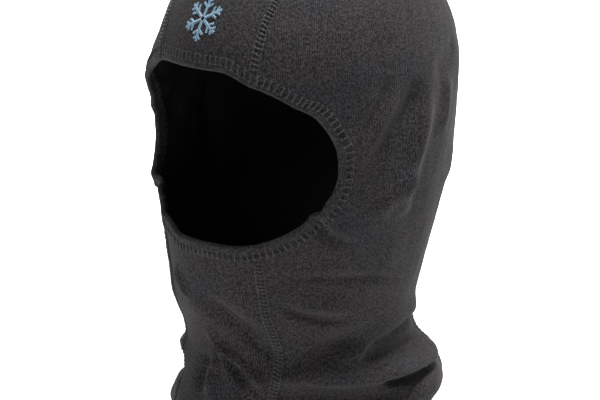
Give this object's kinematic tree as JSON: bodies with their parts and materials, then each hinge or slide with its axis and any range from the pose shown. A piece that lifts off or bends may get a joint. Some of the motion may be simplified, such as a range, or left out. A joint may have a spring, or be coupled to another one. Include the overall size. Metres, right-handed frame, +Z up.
{
  "type": "balaclava",
  "caption": "Open-face balaclava: a hood of stretch fleece panels joined by flatlock seams, with a rounded face opening and a flared neck.",
  "frame": {"origin": "centre of the neck opening, in the plane of the neck edge", "axes": "+Z up to the crown, -Y out of the face opening, +X to the wearer's left"},
  "size_m": [0.1648, 0.1918, 0.336],
  "materials": {
    "cloth": "charcoal stretch fleece, brushed inside, fine knit ribs outside",
    "thread": "textured polyester flatlock thread, charcoal",
    "emblem_thread": "satin embroidery thread, pale blue grey",
    "backing": "non-woven stabiliser, dark grey",
    "label": "blank woven satin label, pale grey"
  },
  "bodies": {
    "hood": {"chin_panel": "cloth", "crown_panel": "cloth", "left_side_panel": "cloth", "right_side_panel": "cloth", "face_hem": "cloth", "neck_hem": "cloth", "face_hem_cover": "thread", "face_hem_looper": "thread", "neck_hem_cover": "thread", "neck_hem_looper": "thread", "emblem": "emblem_thread", "emblem_backing": "backing", "label_tack": "label", "label_stitches": "thread", "chin_seam_left_cover": "thread", "chin_seam_left_looper": "thread", "chin_seam_right_cover": "thread", "chin_seam_right_looper": "thread", "crown_seam_left_cover": "thread", "crown_seam_left_looper": "thread", "crown_seam_right_cover": "thread", "crown_seam_right_looper": "thread"},
    "care_label": {"care_label": "label"}
  },
  "joints": [
    {"name": "label_flip", "type": "hinge", "parent": "hood", "child": "care_label", "pos_m": [0, 0.06921, 0.09451], "axis": [-1, 0, 0], "range_deg": [-8, 165]}
  ]
}
